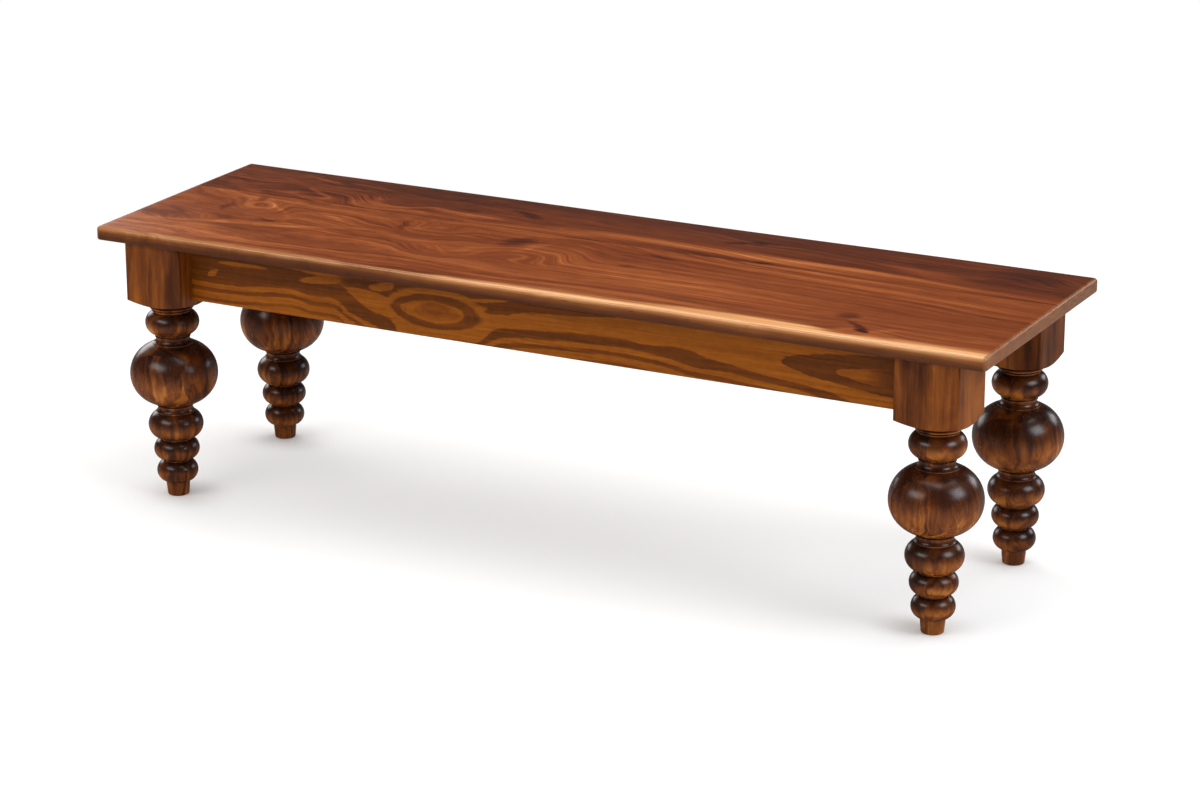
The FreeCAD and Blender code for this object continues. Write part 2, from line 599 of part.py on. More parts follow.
def makeCrossRail(name, signX):
    body = newBody(f"cross_rail_{name}")
    boxFeature(body, "Additive", "Board", ("0", "0", "Sizes.crossRailHigh / 2"),
               ("Sizes.railThick", "2 * (Worked.apronInside + Sizes.housingDeep)", "Sizes.crossRailHigh"))
    screws = []
    for side, signY in (("Front", -1), ("Back", 1)):
        across = f"{signY} * Sizes.crossScrewSpread / 2"
        boreFeature(body, f"{side}Counterbore", ("0", across, "0"), "+Z",
                    "Sizes.counterboreRadius", "Sizes.counterboreDeep")
        screwSeat(body, side, "0", across, "Sizes.counterboreDeep", "Sizes.crossRailHigh")
        place = (f"{signX} * Sizes.crossRailSpread / 2", across, "Worked.crossScrewFoot")
        screws.append(makeScrew(f"CrossScrew{name.title()}{side}", place, "Worked.crossScrewLong"))
        seatScrews.append((place, signY * size("crossScrewSpread") / 2))
    placeAt(body, f"{signX} * Sizes.crossRailSpread / 2", "0", "Worked.underside - Sizes.crossRailHigh")
    return screws


makeGroup("cross_rail_screws", makeCrossRail("left", -1) + makeCrossRail("right", 1))


# Buttons: a body under the seat, a tongue in the groove, a screw up into the seat.

def makeButton(name, faceX, faceY, inX, inY):
    """faceX and faceY name the middle of the button's apron face; inX, inY point away from it."""
    body = newBody(f"seat_button_{name}")
    boxFeature(body, "Additive", "Block",
               ("0", "Worked.buttonMiddle", "Worked.buttonHigh / 2"),
               ("Sizes.buttonLong", "Sizes.buttonReach", "Worked.buttonHigh"))
    boxFeature(body, "Additive", "Tongue",
               ("0", "(Sizes.buttonGap - Sizes.buttonTongueLong) / 2", "Sizes.buttonTongueThick / 2"),
               ("Sizes.buttonLong", "Sizes.buttonGap + Sizes.buttonTongueLong",
                "Sizes.buttonTongueThick"))
    screwSeat(body, "Screw", "0", "Worked.buttonMiddle", "0", "Worked.buttonHigh")
    turn = math.degrees(math.atan2(-inX, inY))
    body.Placement = FreeCAD.Placement(FreeCAD.Vector(), FreeCAD.Rotation(FreeCAD.Vector(0, 0, 1), turn))
    placeAt(body, faceX, faceY, "Worked.buttonFoot")
    place = (f"{faceX} + {inX} * Worked.buttonMiddle", f"{faceY} + {inY} * Worked.buttonMiddle",
             "Worked.buttonFoot")
    row = -inY * (size("apronInside") - size("buttonMiddle"))
    seatScrews.append((place, row))
    return makeScrew(f"ButtonScrew_{name}", place, "Worked.buttonScrewLong")


buttonScrews = []
for rowName, signY in (("front", -1), ("back", 1)):
    for columnName, signX in (("left", -1), ("middle", 0), ("right", 1)):
        buttonScrews.append(makeButton(f"{rowName}_{columnName}", f"{signX} * Sizes.buttonSpread / 2",
                                       f"{signY} * Worked.apronInside", 0, -signY))
for columnName, signX in (("left", -1), ("right", 1)):
    buttonScrews.append(makeButton(columnName, f"{signX} * Worked.railInside", "0", -signX, 0))
makeGroup("seat_button_screws", buttonScrews)


# Pins through the tenons, driven from the blocks' hidden faces.

def makePin(name, place, turn, length):
    pin = document.addObject("Part::Cylinder", name)
    pin.Placement = FreeCAD.Placement(FreeCAD.Vector(), turn)
    pin.setExpression("Radius", "Sizes.pinRadius")
    pin.setExpression("Height", length)
    placeAt(pin, *place)
    return pin


apronPins = []
railPins = []
for corner, signX, signY in legCorners:
    backward = FreeCAD.Rotation(FreeCAD.Vector(1, 0, 0), -90 * signY)
    sideways = FreeCAD.Rotation(FreeCAD.Vector(0, 1, 0), 90 * signX)
    for name, level in tenonPinLevels():
        place = (f"{signX} * (Worked.apronClear + Sizes.apronPinIn)", f"{signY} * Worked.railClear", level)
        apronPins.append(makePin(f"ApronPin_{corner}_{name}", place, backward, "Worked.apronPinLong"))
    place = (f"{signX} * Worked.apronClear", f"{signY} * (Worked.railClear + Sizes.railPinIn)",
             "Worked.railPinLevel")
    railPins.append(makePin(f"RailPin_{corner}", place, sideways, "Worked.railPinLong"))
makeGroup("apron_pins", apronPins)
makeGroup("end_rail_pins", railPins)


# Seat: two boards, their joint held by a loose tongue that stops short of the ends.

def makeSeatBoard(name, low, high, toJoint, joins):
    """low and high are the board's edges in Y; toJoint is +1 where the joint is at its back edge."""
    body = newBody(f"top_board_{name}")
    board = boxFeature(body, "Additive", "Board",
                       ("0", f"({low} + {high}) / 2", "Sizes.seatThick / 2"),
                       ("Sizes.seatLength", f"{high} - {low}", "Sizes.seatThick"))
    end, edge = size("seatLength") / 2, -toJoint * size("seatDepth") / 2
    thick, joint = size("seatThick"), size("jointY")
    corners = roundEdges(body, "Corners", board,
                         lambda point: near(abs(point.x), end) and near(point.y, edge), "Sizes.seatCorner")
    upper = roundEdges(body, "UpperEdges", corners,
                       lambda point: near(point.z, thick) and not near(point.y, joint), "Sizes.topArris")
    roundEdges(body, "LowerEdges", upper,
               lambda point: near(point.z, 0) and not near(point.y, joint), "Sizes.lowArris")
    slot = "(Sizes.tongueWide / 2 + Sizes.glueGap)"
    boxFeature(body, "Subtractive", "TongueSlot",
               ("0", f"Worked.jointY - {toJoint} * {slot} / 2", "Sizes.seatThick / 2"),
               ("Sizes.seatLength - 2 * Sizes.tongueStop", slot, "Sizes.tongueThick"))
    for number, place in enumerate(joins, start=1):
        boreFeature(body, f"ScrewHole{number}", (place[0], place[1], "0"), "+Z",
                    "Worked.screwHole", "Sizes.screwBite + Sizes.glueGap")
    placeAt(body, "0", "0", "Worked.underside")


frontScrews = [place for place, row in seatScrews if row < size("jointY")]
backScrews = [place for place, row in seatScrews if row >= size("jointY")]
makeSeatBoard("front", "-Sizes.seatDepth / 2", "Worked.jointY", 1, frontScrews)
makeSeatBoard("back", "Worked.jointY", "Sizes.seatDepth / 2", -1, backScrews)

tongue = newBody("seat_tongue")
boxFeature(tongue, "Additive", "Strip", ("0", "0", "0"),
           ("Sizes.seatLength - 2 * Sizes.tongueStop", "Sizes.tongueWide", "Sizes.tongueThick"))
placeAt(tongue, "0", "Worked.jointY", "Worked.underside + Sizes.seatThick / 2")


# Every piece is checked before anything is written.

document.recompute()
leastCut = 1.0
for item in document.Objects:
    if "Invalid" in item.State or "Error" in item.State:
        raise RuntimeError(f"{item.Name} failed: {item.State}")
    if item.TypeId.startswith("PartDesign::Subtractive") or item.TypeId == "PartDesign::Groove":
        if item.BaseFeature.Shape.Volume - item.Shape.Volume < leastCut:
            raise RuntimeError(f"{item.Name} of {item.getParent().Label} cuts nothing")
for node in nodes:
    if node.Shape.isNull() or not node.Shape.isValid():
        raise RuntimeError(f"{node.Label} has no valid shape")

os.makedirs("parts", exist_ok=True)
for node in nodes:
    node.Shape.exportStep(f"parts/{node.Label}.step")
    print(f"{node.Label}: {len(node.Shape.Solids)} solid, {node.Shape.Volume / 1000:.2f} cm3")
print(f"{len(nodes)} nodes")
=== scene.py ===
import bmesh
import bpy
import math
from mathutils import Matrix, Vector
from mathutils.bvhtree import BVHTree
from mathutils.interpolate import poly_3d_calc


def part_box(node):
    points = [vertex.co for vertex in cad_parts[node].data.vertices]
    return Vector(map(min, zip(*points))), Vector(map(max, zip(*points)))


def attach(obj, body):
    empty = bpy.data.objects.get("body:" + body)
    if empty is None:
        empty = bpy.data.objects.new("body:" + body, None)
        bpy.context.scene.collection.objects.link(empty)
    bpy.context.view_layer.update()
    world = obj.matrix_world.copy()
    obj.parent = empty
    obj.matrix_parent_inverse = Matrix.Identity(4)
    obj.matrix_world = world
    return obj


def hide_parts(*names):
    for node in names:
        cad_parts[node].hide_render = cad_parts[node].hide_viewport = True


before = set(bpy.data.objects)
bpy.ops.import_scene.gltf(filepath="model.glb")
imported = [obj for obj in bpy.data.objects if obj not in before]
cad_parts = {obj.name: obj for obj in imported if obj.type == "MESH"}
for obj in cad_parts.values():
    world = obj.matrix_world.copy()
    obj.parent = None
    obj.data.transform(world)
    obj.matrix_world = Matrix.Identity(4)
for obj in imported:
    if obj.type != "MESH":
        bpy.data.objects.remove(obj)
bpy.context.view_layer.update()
print("frame loaded:", len(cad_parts), "nodes")

corners = {"front_left": -1, "front_right": 1, "back_left": -1, "back_right": 1}  # which way along X is outward


# Shader trees. Patterns are measured in millimetres, and colours are written as they look on a screen.

def paint(red, green, blue):
    channels = [value / 255 for value in (red, green, blue)]
    return tuple(c / 12.92 if c <= 0.04045 else ((c + 0.055) / 1.055) ** 2.4 for c in channels) + (1.0,)


class Finish:
    def __init__(self, name):
        self.material = bpy.data.materials.new(name)
        self.material.use_nodes = True
        self.tree = self.material.node_tree
        self.tree.nodes.clear()

    # a socket takes a link or a plain value
    def feed(self, socket, value):
        if isinstance(value, bpy.types.NodeSocket):
            self.tree.links.new(value, socket)
        else:
            socket.default_value = value

    def node(self, kind, inputs=(), **settings):
        made = self.tree.nodes.new("ShaderNode" + kind)
        for key, value in settings.items():
            setattr(made, key, value)
        named = inputs.items() if isinstance(inputs, dict) else enumerate(inputs)
        for key, value in named:
            self.feed(made.inputs[key], value)
        return made

    def calc(self, operation, *values):
        return self.node("Math", values, operation=operation).outputs[0]

    def difference(self, value, level):
        return self.calc("ABSOLUTE", self.calc("SUBTRACT", value, level))

    def add(self, *values):
        total = values[0]
        for value in values[1:]:
            total = self.calc("ADD", total, value)
        return total

    def scaled(self, value, factor, offset=0.0):
        return self.calc("MULTIPLY_ADD", value, factor, offset)

    def vector(self, operation, first, second):
        return self.node("VectorMath", (first, second), operation=operation).outputs[0]

    def length(self, value):
        return self.node("VectorMath", (value,), operation="LENGTH").outputs["Value"]

    def join(self, x=0.0, y=0.0, z=0.0):
        return self.node("CombineXYZ", (x, y, z)).outputs[0]

    def split(self, value):
        return self.node("SeparateXYZ", (value,)).outputs

    def millimetres(self):
        place = self.node("TexCoord").outputs["Object"]
        return self.node("VectorMath", {"Vector": place, "Scale": 1000.0}, operation="SCALE").outputs[0]

    # a pattern's own space: centred on a place, turned about Z, one unit as large as size
    def local(self, place, size, centre=(0, 0, 0), turn=0.0):
        return self.node("Mapping", (place, centre, (0, 0, math.radians(turn)), size),
                         vector_type="TEXTURE").outputs[0]

    # soft random clouds about 0.5, as large as size
    def cloud(self, place, size, detail=2.0, roughness=0.5, distortion=0.0, output=0):
        made = self.node("TexNoise", {"Vector": self.local(place, size), "Scale": 1.0, "Detail": detail,
                                      "Roughness": roughness, "Distortion": distortion})
        return made.outputs[output]

    # clouds that push a pattern about: three channels, each about 0
    def drift(self, place, size, detail=2.0, roughness=0.5, distortion=0.0):
        return self.vector("SUBTRACT", self.cloud(place, size, detail, roughness, distortion, 1), (0.5, 0.5, 0.5))

    def pushed(self, place, drift, reach):
        return self.vector("ADD", place, self.vector("MULTIPLY", drift, reach))

    # 0 below low, 1 above high; or the other way round
    def between(self, value, low, high):
        return self.node("MapRange", (value, low, high, 0.0, 1.0), interpolation_type="SMOOTHSTEP").outputs[0]

    # an oval that fades from 1 inside to 0 at its edge
    def spot(self, place, centre, size, turn=0.0, core=0.2):
        flat = (size[0], size[1], 1e6) if len(size) == 2 else size
        middle = (centre[0], centre[1], 0) if len(centre) == 2 else centre
        return self.between(self.length(self.local(place, flat, middle, turn)), 1.0, core)

    def spots(self, place, total, table):
        for centre, size, turn, strength in table:
            total = self.calc("MULTIPLY_ADD", self.spot(place, centre, size, turn), strength, total)
        return total

    # a drawn edge: its points run along span, at levels within heights
    def edge(self, value, span, heights, points):
        across = self.node("MapRange", (value, span[0], span[1], 0.0, 1.0)).outputs[0]
        made = self.node("FloatCurve", {"Value": across})
        curve = made.mapping.curves[0]
        while len(curve.points) < len(points):
            curve.points.new(0.5, 0.5)
        long, high = span[1] - span[0], heights[1] - heights[0]
        for point, (along, level) in zip(curve.points, points):
            point.location = ((along - span[0]) / long, (level - heights[0]) / high)
        made.mapping.update()
        return self.scaled(made.outputs[0], high, heights[0])

    def ramp(self, value, stops):
        made = self.node("ValToRGB", (value,))
        colours = made.color_ramp.elements
        while len(colours) < len(stops):
            colours.new(0.5)
        for stop, (position, colour) in zip(colours, stops):
            stop.position = position
            stop.color = colour
        return made.outputs[0]

    def blend(self, amount, first, second):
        made = self.node("Mix", data_type="RGBA")
        for socket, value in ((made.inputs[0], amount), (made.inputs[6], first), (made.inputs[7], second)):
            self.feed(socket, value)
        return made.outputs[2]

    def surface(self, colour, roughness, relief, height, **others):
        bump = self.node("Bump", {"Strength": 1.0, "Distance": height, "Height": relief})
        shader = self.node("BsdfPrincipled", {"Base Color": colour, "Roughness": roughness,
                                              "Normal": bump.outputs[0]})
        for name, value in others.items():
            self.feed(shader.inputs[name.replace("_", " ")], value)
        self.node("OutputMaterial", (shader.outputs[0],))
        return self.material


# Wood colours, dark to light.
seatTones = ((0.0, paint(44, 18, 9)), (0.22, paint(78, 33, 13)), (0.42, paint(112, 53, 21)),
             (0.6, paint(142, 76, 34)), (0.8, paint(180, 110, 60)), (1.0, paint(222, 158, 96)))
faceTones = ((0.08, paint(66, 32, 13)), (0.36, paint(98, 54, 23)), (0.62, paint(130, 78, 37)),
             (0.9, paint(176, 116, 66)))
sapTones = ((0.3, paint(164, 104, 58)), (0.5, paint(198, 140, 88)), (0.72, paint(226, 178, 126)))
endTones = ((0.25, paint(92, 54, 32)), (0.75, paint(150, 104, 70)))

seat = {
    "span": (-762.0, 762.0), "joint": 60.0, "under": 434.0, "thick": 23.0,
    "frontFace": (-222, -229), "topFace": (447, 455), "endGrain": (755, 760),  # where each finish fades in
    # edge of the pale sapwood, the dark under edge of the front face, the pale streak beside the joint
    "sapEdge": ((-762, -227), (-560, -226), (-330, -227), (-262, -238), (-187, -234), (-120, -222), (40, -213),
                (150, -213), (330, -198), (460, -200), (540, -216), (640, -210), (762, -210)),
    "lowEdge": ((-762, 443), (-600, 443), (-430, 447), (-330, 449), (-200, 444), (-60, 439), (120, 441), (300, 444),
                (430, 440), (560, 445), (762, 440)),
    "streak": ((-762, 64), (-500, 62), (-330, 64), (-200, 76), (-60, 92), (60, 100), (200, 96), (360, 94),
               (520, 86), (650, 74), (762, 66)),
    "bends": (  # the grain parts around these: centre, size, turn, reach in Y
        ((-585, -22), (98, 60), -22, 44), ((-690, -95), (80, 40), 8, -16), ((-420, 110), (90, 60), 12, 34),
        ((-560, 120), (130, 46), -10, -20), ((-270, -20), (90, 74), 10, 36), ((-60, -28), (130, 84), 24, -44),
        ((-205, -105), (90, 60), 0, 26), ((60, 84), (280, 60), 0, -24), ((-400, 180), (140, 50), 0, 14),
        ((552, -186), (84, 34), -14, -16), ((520, 130), (190, 50), -12, 16), ((676, 190), (120, 60), 10, -24),
        ((210, 160), (90, 36), 0, 12), ((330, -60), (300, 60), 0, -12), ((700, -60), (180, 60), 0, 14)),
    "marksAndSheen": (  # centre, size, turn, strength
        ((-617, 30), (13, 30), -8, -0.22), ((-643, -28), (11, 34), 12, -0.20), ((-700, -84), (30, 11), -18, -0.18),
        ((-560, -2), (62, 8), -38, 0.12), ((-516, -50), (10, 34), 20, 0.07), ((-540, -70), (34, 9), -20, -0.18),
        ((-470, -82), (120, 9), 20, 0.14), ((-440, -15), (64, 7), -22, 0.14), ((-640, -122), (130, 8), 14, 0.12),
        ((-327, 4), (13, 46), 8, -0.18), ((-300, -6), (16, 30), -50, 0.08), ((-262, -66), (60, 7), 6, 0.12),
        ((-205, -96), (36, 8), -42, 0.10), ((-170, -84), (46, 8), 30, 0.11), ((-118, -2), (50, 30), 60, -0.22),
        ((-80, -12), (12, 52), -24, 0.10), ((4, 20), (36, 6), -24, 0.10), ((-200, -10), (44, 6), -4, 0.14),
        ((553, -190), (15, 9), -30, -0.6), ((536, -170), (40, 9), -40, -0.26), ((505, -130), (22, 26), -50, -0.18),
        ((588, -176), (38, 9), 24, 0.10), ((275, 66), (26, 6), 10, -0.3), ((125, 22), (48, 5), -6, -0.22),
        ((98, -46), (18, 14), 30, -0.10), ((-592, 190), (64, 6), -16, 0.2), ((-500, 184), (80, 5), -6, 0.18),
        ((-560, 118), (42, 8), -36, 0.20), ((-445, 118), (18, 30), 30, 0.14), ((-620, 84), (150, 34), 0, 0.12),
        ((-430, 84), (150, 34), 0, 0.14), ((-250, 106), (100, 30), 10, 0.14), ((190, 152), (26, 10), 20, -0.24),
        ((222, 166), (24, 16), 0, -0.16), ((520, 130), (120, 24), -14, 0.16), ((680, 185), (90, 60), 0, -0.14),
        ((-180, 150), (50, 14), -24, -0.2), ((-400, 190), (380, 40), 0, -0.10),
        # the last oval is a painted sheen: it pales the seat's front-left corner as a reflection there would
        ((-690, -175), (170, 80), 8, 0.1)),
}


def seatFinish():
    made = Finish("seatWalnut")
    place = made.millimetres()
    x, y, z = made.split(place)
    back = made.between(y, seat["joint"] - 0.3, seat["joint"] + 0.3)
    wild = made.node("MapRange", (x, -650.0, 120.0, 1.0, 0.16)).outputs[0]
    drift = made.drift(place, (300, 150, 300), 2, 0.45)
    swayed = made.pushed(place, drift, made.join(made.scaled(wild, 150), made.scaled(wild, 110, 6), 0.0))
    slope = made.calc("MULTIPLY", made.scaled(x, 0.08), made.between(y, -190, 20))
    rise = made.spots(place, slope, seat["bends"])
    flow = made.vector("ADD", swayed, made.join(made.scaled(back, 700), rise, 0.0))

    wide = made.cloud(flow, (620, 40, 300), 2, 0.5)
    streaks = made.cloud(flow, (480, 10, 160), 3, 0.6)
    lines = made.cloud(flow, (360, 3.0, 80), 3, 0.65)
    fibres = made.cloud(flow, (46, 0.7, 9), 3, 0.6)
    mottle = made.cloud(flow, (46, 14, 30), 4, 0.62, 0.6)
    tone = made.add(made.scaled(wide, 0.5, -0.25), made.scaled(streaks, 0.46, -0.23),
                    made.scaled(lines, 0.5, -0.25),
                    made.calc("MULTIPLY", made.scaled(mottle, 0.5, -0.25), made.scaled(wild, 0.7, 0.3)),
                    made.scaled(fibres, 0.26, -0.13), 0.44)
    tone = made.add(tone, made.scaled(back, -0.13), made.scaled(made.between(y, 110, 190), -0.06),
                    made.calc("MULTIPLY", made.between(y, 60, 130), made.scaled(made.between(x, 250, 700), -0.05)))
    nudged = made.pushed(place, made.drift(place, (44, 20, 90), 3, 0.5), (30, 16, 0))
    # grain marks, and one painted sheen at the front-left corner
    tone = made.spots(nudged, tone, seat["marksAndSheen"])

    # a pale streak of sapwood beside the joint, and the joint line itself
    streakY = made.edge(x, seat["span"], (40.0, 120.0), seat["streak"])
    off = made.difference(made.add(y, made.scaled(made.split(drift)[1], 30)), streakY)
    along = made.calc("MULTIPLY", made.between(x, -300, 60), made.scaled(made.between(x, 420, 740), -0.8, 1))
    glow = made.calc("MULTIPLY", made.between(off, 26, 2), along)
    glow = made.calc("MULTIPLY", glow, made.between(y, seat["joint"], seat["joint"] + 8))
    tone = made.add(tone, made.calc("MULTIPLY", glow, made.scaled(lines, 0.5, 0.04)))
    joint = made.between(made.difference(y, seat["joint"]), 1.4, 0.2)
    tone = made.add(tone, made.calc("MULTIPLY", joint, made.scaled(made.between(x, -150, 0), -0.4, 0.2)))
    colour = made.ramp(tone, seatTones)

    # the front face darkens downwards, and the sapwood runs along its upper edge; on the left the pale band along
    # the arris is partly a painted highlight
    ragged = made.scaled(made.cloud(place, (110, 7, 7), 4, 0.65), 22, -11)
    front = made.between(y, *seat["frontFace"])
    face = made.scaled(made.add(z, made.scaled(ragged, 0.5)), 1 / seat["thick"], -seat["under"] / seat["thick"])
    face = made.add(face, made.scaled(made.between(x, -60, -340), -0.2))
    faceColour = made.ramp(made.add(face, made.scaled(lines, 0.3, -0.15)), faceTones)
    colour = made.blend(made.scaled(front, 0.8), colour, faceColour)
    sapY = made.edge(x, seat["span"], (-240.0, -180.0), seat["sapEdge"])
    sapAndHighlight = made.between(made.calc("SUBTRACT", made.add(y, ragged), sapY), 10, -12)
    sapAndHighlight = made.calc("MULTIPLY", sapAndHighlight, made.between(z, *seat["topFace"]))
    # the pale band is kept at three quarters strength on the left, where it also stands in as a painted highlight
    # along the arris
    sapAndHighlight = made.calc("MULTIPLY", sapAndHighlight, made.scaled(made.between(x, -300, -90), 0.25, 0.75))
    sapColour = made.ramp(made.add(made.scaled(streaks, 0.6), made.scaled(lines, 0.6, -0.1)), sapTones)
    colour = made.blend(made.scaled(sapAndHighlight, 0.9), colour, sapColour)
    lowZ = made.edge(x, seat["span"], (seat["under"], seat["under"] + seat["thick"]), seat["lowEdge"])
    shade = made.between(made.calc("SUBTRACT", made.add(z, made.scaled(ragged, 0.2)), lowZ), 1.8, -0.6)
    colour = made.blend(made.calc("MULTIPLY", shade, made.scaled(front, 0.35)), colour, paint(76, 38, 16))

    # end grain: shallow arcs across the two ends
    ends = made.between(made.calc("ABSOLUTE", x), *seat["endGrain"])
    bow = made.scaled(made.cloud(made.join(0.0, y, 0.0), (60, 60, 60)), 40)
    arcs = made.cloud(made.join(0.0, y, made.add(z, bow)), (30, 24, 1.6), 3, 0.6)
    colour = made.blend(made.scaled(ends, 0.75), colour, made.ramp(arcs, endTones))
    pores = made.between(fibres, 0.36, 0.27)
    colour = made.blend(made.scaled(pores, 0.5), colour, paint(58, 26, 14))
    relief = made.add(made.scaled(fibres, 0.6), made.scaled(lines, 0.4))

    # hands have polished the front arris
    polish = made.calc("MULTIPLY", made.between(z, 451.5, 453.5), made.between(y, -224, -226.5))
    roughness = made.add(made.scaled(streaks, 0.12, 0.27), made.scaled(polish, -0.12))
    return made.surface(colour, roughness, relief, 0.0001, Specular_IOR_Level=made.scaled(polish, 0.33, 0.22))


apronTones = ((0.0, paint(58, 27, 6)), (0.24, paint(86, 44, 9)), (0.44, paint(112, 56, 7)),
              (0.62, paint(138, 74, 8)), (0.82, paint(158, 90, 20)), (1.0, paint(182, 112, 38)))

apron = {
    "span": (-615.0, 615.0),
    "heights": (320.0, 440.0),
    # upper and lower edges of the broad dark band, along the apron; at the left end the upper edge is raised under
    # the seat's overhang as a painted shadow of the seat
    "bandTopAndSeatShadow": ((-615, 424), (-560, 424), (-470, 421), (-400, 415), (-345, 405), (-318, 394), (-305, 380),
                (-285, 370), (-262, 365), (-244, 360), (-238, 345), (-215, 332), (-110, 338), (-50, 372), (25, 378),
                (75, 382), (160, 385), (200, 381), (250, 385), (300, 375), (365, 366), (440, 358), (500, 351),
                (545, 340), (615, 330)),
    "bandLow": ((-615, 375), (-540, 375), (-480, 380), (-430, 383), (-385, 378), (-355, 379), (-330, 366),
                (-300, 352), (-275, 344), (-250, 336), (-200, 326), (-130, 328), (-80, 344), (-30, 360), (75, 367),
                (155, 371), (215, 367), (280, 359), (330, 357), (400, 352), (450, 347), (500, 339), (615, 326)),
    "thinLines": ((11.5, (4.2, 2.6), 0.75), (28.0, (3.4, 2.0), 0.6)),  # below the band, fade, strength
    # dark ovals over the eye, and the patches left golden: centre, size, turn
    "sweep": {"levels": (401, 404), "centre": -165, "reach": (190, 150)},
    "dark": (((-255, 398), (60, 12), 14), ((-20, 410), (62, 9), -14), ((-42, 402), (10, 8), 0),
             ((60, 414), (95, 6), -4)),
    "golden": (((-262, 410), (24, 6.5), -10), ((-372, 406), (40, 6), -8), ((-575, 391), (13, 4.2), -22),
               ((-520, 411), (46, 3.4), 0), ((-262, 382), (62, 14), 14), ((-95, 410), (60, 3), -8)),
    "eye": {"centre": (-167, 382), "ring": (79, 27), "gold": (56, 16.5), "core": (26, 11), "off": -5, "rim": 12},
    # the pointed figure at the right end: tip, middle level, how fast it opens
    "point": (420, 389, 2.35), "heart": (508, 385, 1.6),
}


def apronFinish(name, shift=0.0, tilt=0.0, strength=1.0):
    made = Finish(name)
    place = made.millimetres()
    place = made.node("Mapping", (place, (shift, 0, 0), (0, tilt, 0)), vector_type="POINT").outputs[0]
    # ragged edges, as growth rings are cut
    worn = made.pushed(place, made.drift(place, (70, 60, 16), 4, 0.6), (22, 0, 7))
    worn = made.pushed(worn, made.drift(place, (12, 20, 5)), (8, 0, 2.6))
    x, y, z = made.split(worn)
    # the band's upper edge, raised at the left end as a painted shadow of the seat
    top = made.edge(x, apron["span"], apron["heights"], apron["bandTopAndSeatShadow"])
    low = made.edge(x, apron["span"], apron["heights"], apron["bandLow"])
    band = made.calc("MULTIPLY", made.between(made.calc("SUBTRACT", z, top), 1.8, -1.8),
                     made.between(made.calc("SUBTRACT", z, low), -1.8, 1.8))
    dark = band
    for gap, fade, strong in apron["thinLines"]:
        off = made.difference(z, made.scaled(low, 1, -gap))
        dark = made.calc("MAXIMUM", dark, made.scaled(made.between(off, *fade), strong))

    def oval(centre, size, turn=0.0, soft=0.06):
        inner = made.node("Mapping", (worn, (centre[0], 0, centre[1]), (0, math.radians(turn), 0),
                                      (size[0], 1e6, size[1])), vector_type="TEXTURE").outputs[0]
        return made.between(made.length(inner), 1 + soft, 1 - soft)

    def lightened(amount, most=1.0):
        return made.calc("MULTIPLY", dark, made.scaled(amount, -most, 1))

    # a dark sweep over the eye, a knot where it comes down, and the patches left golden
    sweep = apron["sweep"]
    over = made.calc("MULTIPLY", made.between(z, *sweep["levels"]),
                     made.between(made.difference(x, sweep["centre"]), *sweep["reach"]))
    dark = made.calc("MAXIMUM", dark, over)
    for patch in apron["dark"]:
        dark = made.calc("MAXIMUM", dark, oval(*patch))
    for patch in apron["golden"]:
        dark = lightened(oval(*patch))
    eye = apron["eye"]
    eyeX, eyeZ = eye["centre"]
    dark = lightened(oval(eye["centre"], [value + eye["rim"] for value in eye["ring"]]))
    dark = made.calc("MAXIMUM", dark, oval(eye["centre"], eye["ring"]))
    inside = oval((eyeX + eye["off"], eyeZ), eye["gold"])
    dark = lightened(inside)
    core = oval((eyeX, eyeZ + 5), eye["core"], soft=0.3)
    dark = made.calc("MAXIMUM", dark, made.scaled(core, 0.5))
    dark = made.calc("MAXIMUM", dark, made.scaled(inside, 0.16))

    # the pointed figure that opens to the right end, and its golden heart
    def pointed(tip, level, opening):
        reach = made.calc("SQRT", made.calc("MAXIMUM", made.scaled(x, 1, -tip), 0.0))
        wedge = made.calc("SUBTRACT", made.difference(z, level), made.scaled(reach, opening))
        return made.between(wedge, 0.6, -0.8)

    dark = made.calc("MAXIMUM", dark, pointed(*apron["point"]))
    # the golden heart fades out between 550 and 600 mm towards the leg: a painted shade beside the leg
    dark = lightened(made.calc("MULTIPLY", pointed(*apron["heart"]), made.between(x, 600, 550)), 0.85)

    wide = made.cloud(worn, (240, 90, 10), 3, 0.55)
    fibres = made.cloud(place, (60, 6, 0.9), 3, 0.6)
    mottle = made.cloud(place, (14, 14, 9), 3, 0.6)
    streaks = made.cloud(worn, (260, 40, 3.4), 3, 0.6)
    # inside the eye the streaks run round it
    out = made.length(made.local(worn, (76, 1e6, 25), (eyeX, 0, eyeZ)))
    rounds = made.cloud(made.join(out, 0.0, made.scaled(x, 0.004)), (0.12, 1, 1), 3, 0.65)
    streaks = made.blend(made.between(out, 1.3, 1.0), streaks, rounds)
    tone = made.add(made.scaled(dark, -0.32 * strength), made.scaled(wide, 0.36, -0.18),
                    made.scaled(fibres, 0.2, -0.1), made.scaled(mottle, 0.2, -0.1),
                    made.scaled(streaks, 0.46, -0.23), 0.615)
    colour = made.ramp(tone, apronTones)
    pores = made.between(fibres, 0.34, 0.26)
    colour = made.blend(made.scaled(pores, 0.4), colour, paint(56, 26, 10))
    return made.surface(colour, made.scaled(mottle, 0.1, 0.32), fibres, 0.0001, Specular_IOR_Level=0.1)


legTones = ((0.0, paint(38, 16, 6)), (0.25, paint(72, 34, 10)), (0.45, paint(106, 53, 13)),
            (0.65, paint(138, 75, 20)), (0.85, paint(164, 99, 38)), (1.0, paint(186, 126, 66)))
turnedLevels = (330, 318)  # square and dry above; turned below, darkened by stain and by painted shade
